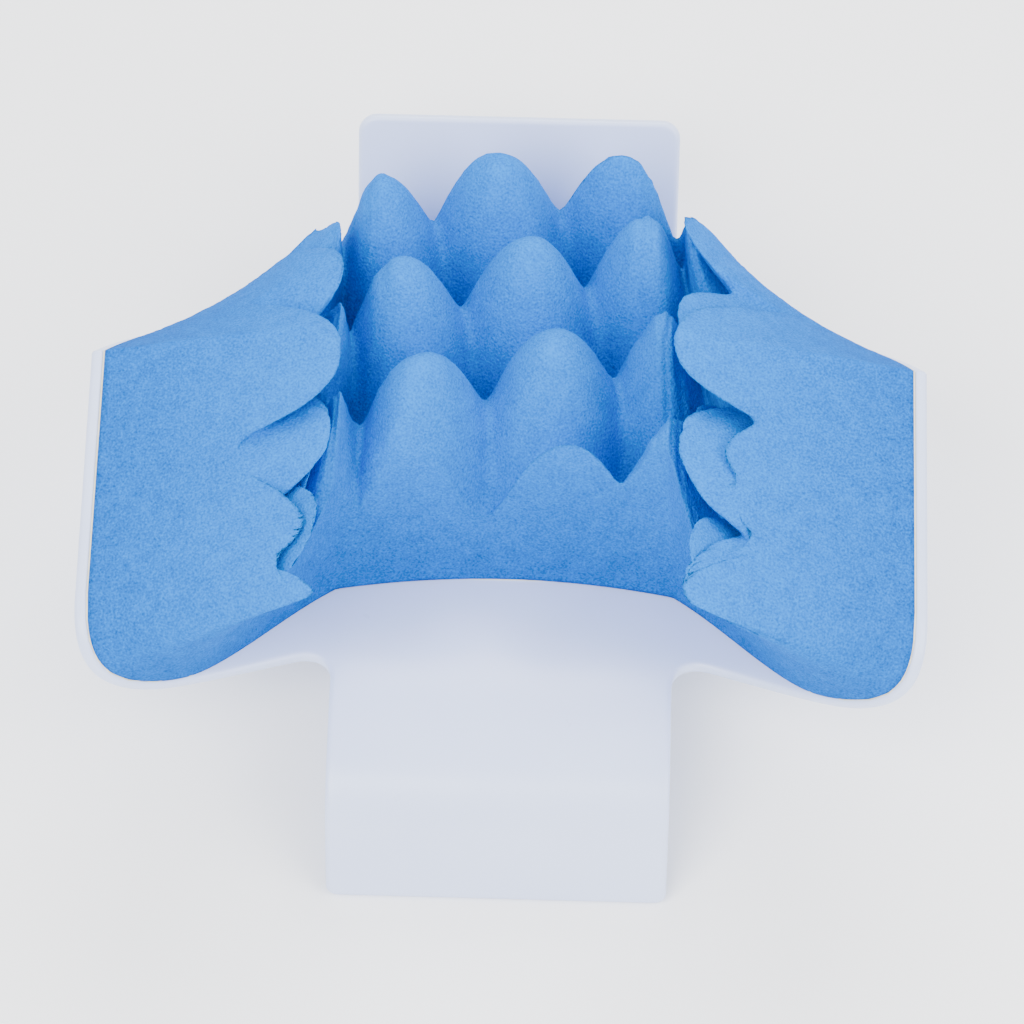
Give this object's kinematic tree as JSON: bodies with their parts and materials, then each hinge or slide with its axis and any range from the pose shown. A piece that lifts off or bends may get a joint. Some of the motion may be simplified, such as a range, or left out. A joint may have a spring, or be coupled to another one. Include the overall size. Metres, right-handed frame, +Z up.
{
  "type": "neck and shoulder relaxer",
  "caption": "Springy moulded neck cradle with two curled wings, a front foot and a raised head plate, lined with fingered foam.",
  "frame": {"origin": "on the ground in the middle of the footprint", "axes": "+X to the right wing, +Y from the front foot to the head plate, +Z up"},
  "size_m": [0.2578, 0.2608, 0.1036],
  "materials": {
    "moulding": "smooth, slightly glossy white moulding",
    "foam": "open-cell blue foam",
    "adhesive": "dried contact adhesive"
  },
  "bodies": {
    "centre": {"centre_frame": "moulding", "centre_glue": "adhesive", "centre_foam": "foam"},
    "head": {"head_plate": "moulding"},
    "left_wing": {"left_wing_frame": "moulding", "left_wing_glue": "adhesive", "left_wing_foam": "foam"},
    "right_wing": {"right_wing_frame": "moulding", "right_wing_glue": "adhesive", "right_wing_foam": "foam"}
  },
  "joints": [
    {"name": "left_wing_flex", "type": "hinge", "parent": "centre", "child": "left_wing", "pos_m": [-0.0532, 0.02218, 0.01823], "axis": [0, 0.9743, -0.2252], "range_deg": [-3, 9], "stiffness_Nm_per_rad": 6},
    {"name": "right_wing_flex", "type": "hinge", "parent": "centre", "child": "right_wing", "pos_m": [0.0532, 0.02218, 0.01823], "axis": [0, -0.9743, 0.2252], "range_deg": [-3, 9], "stiffness_Nm_per_rad": 6},
    {"name": "head_plate_flex", "type": "hinge", "parent": "centre", "child": "head", "pos_m": [0, 0.10078, 0.01348], "axis": [-1, 0, 0], "range_deg": [-2, 12], "stiffness_Nm_per_rad": 8}
  ]
}
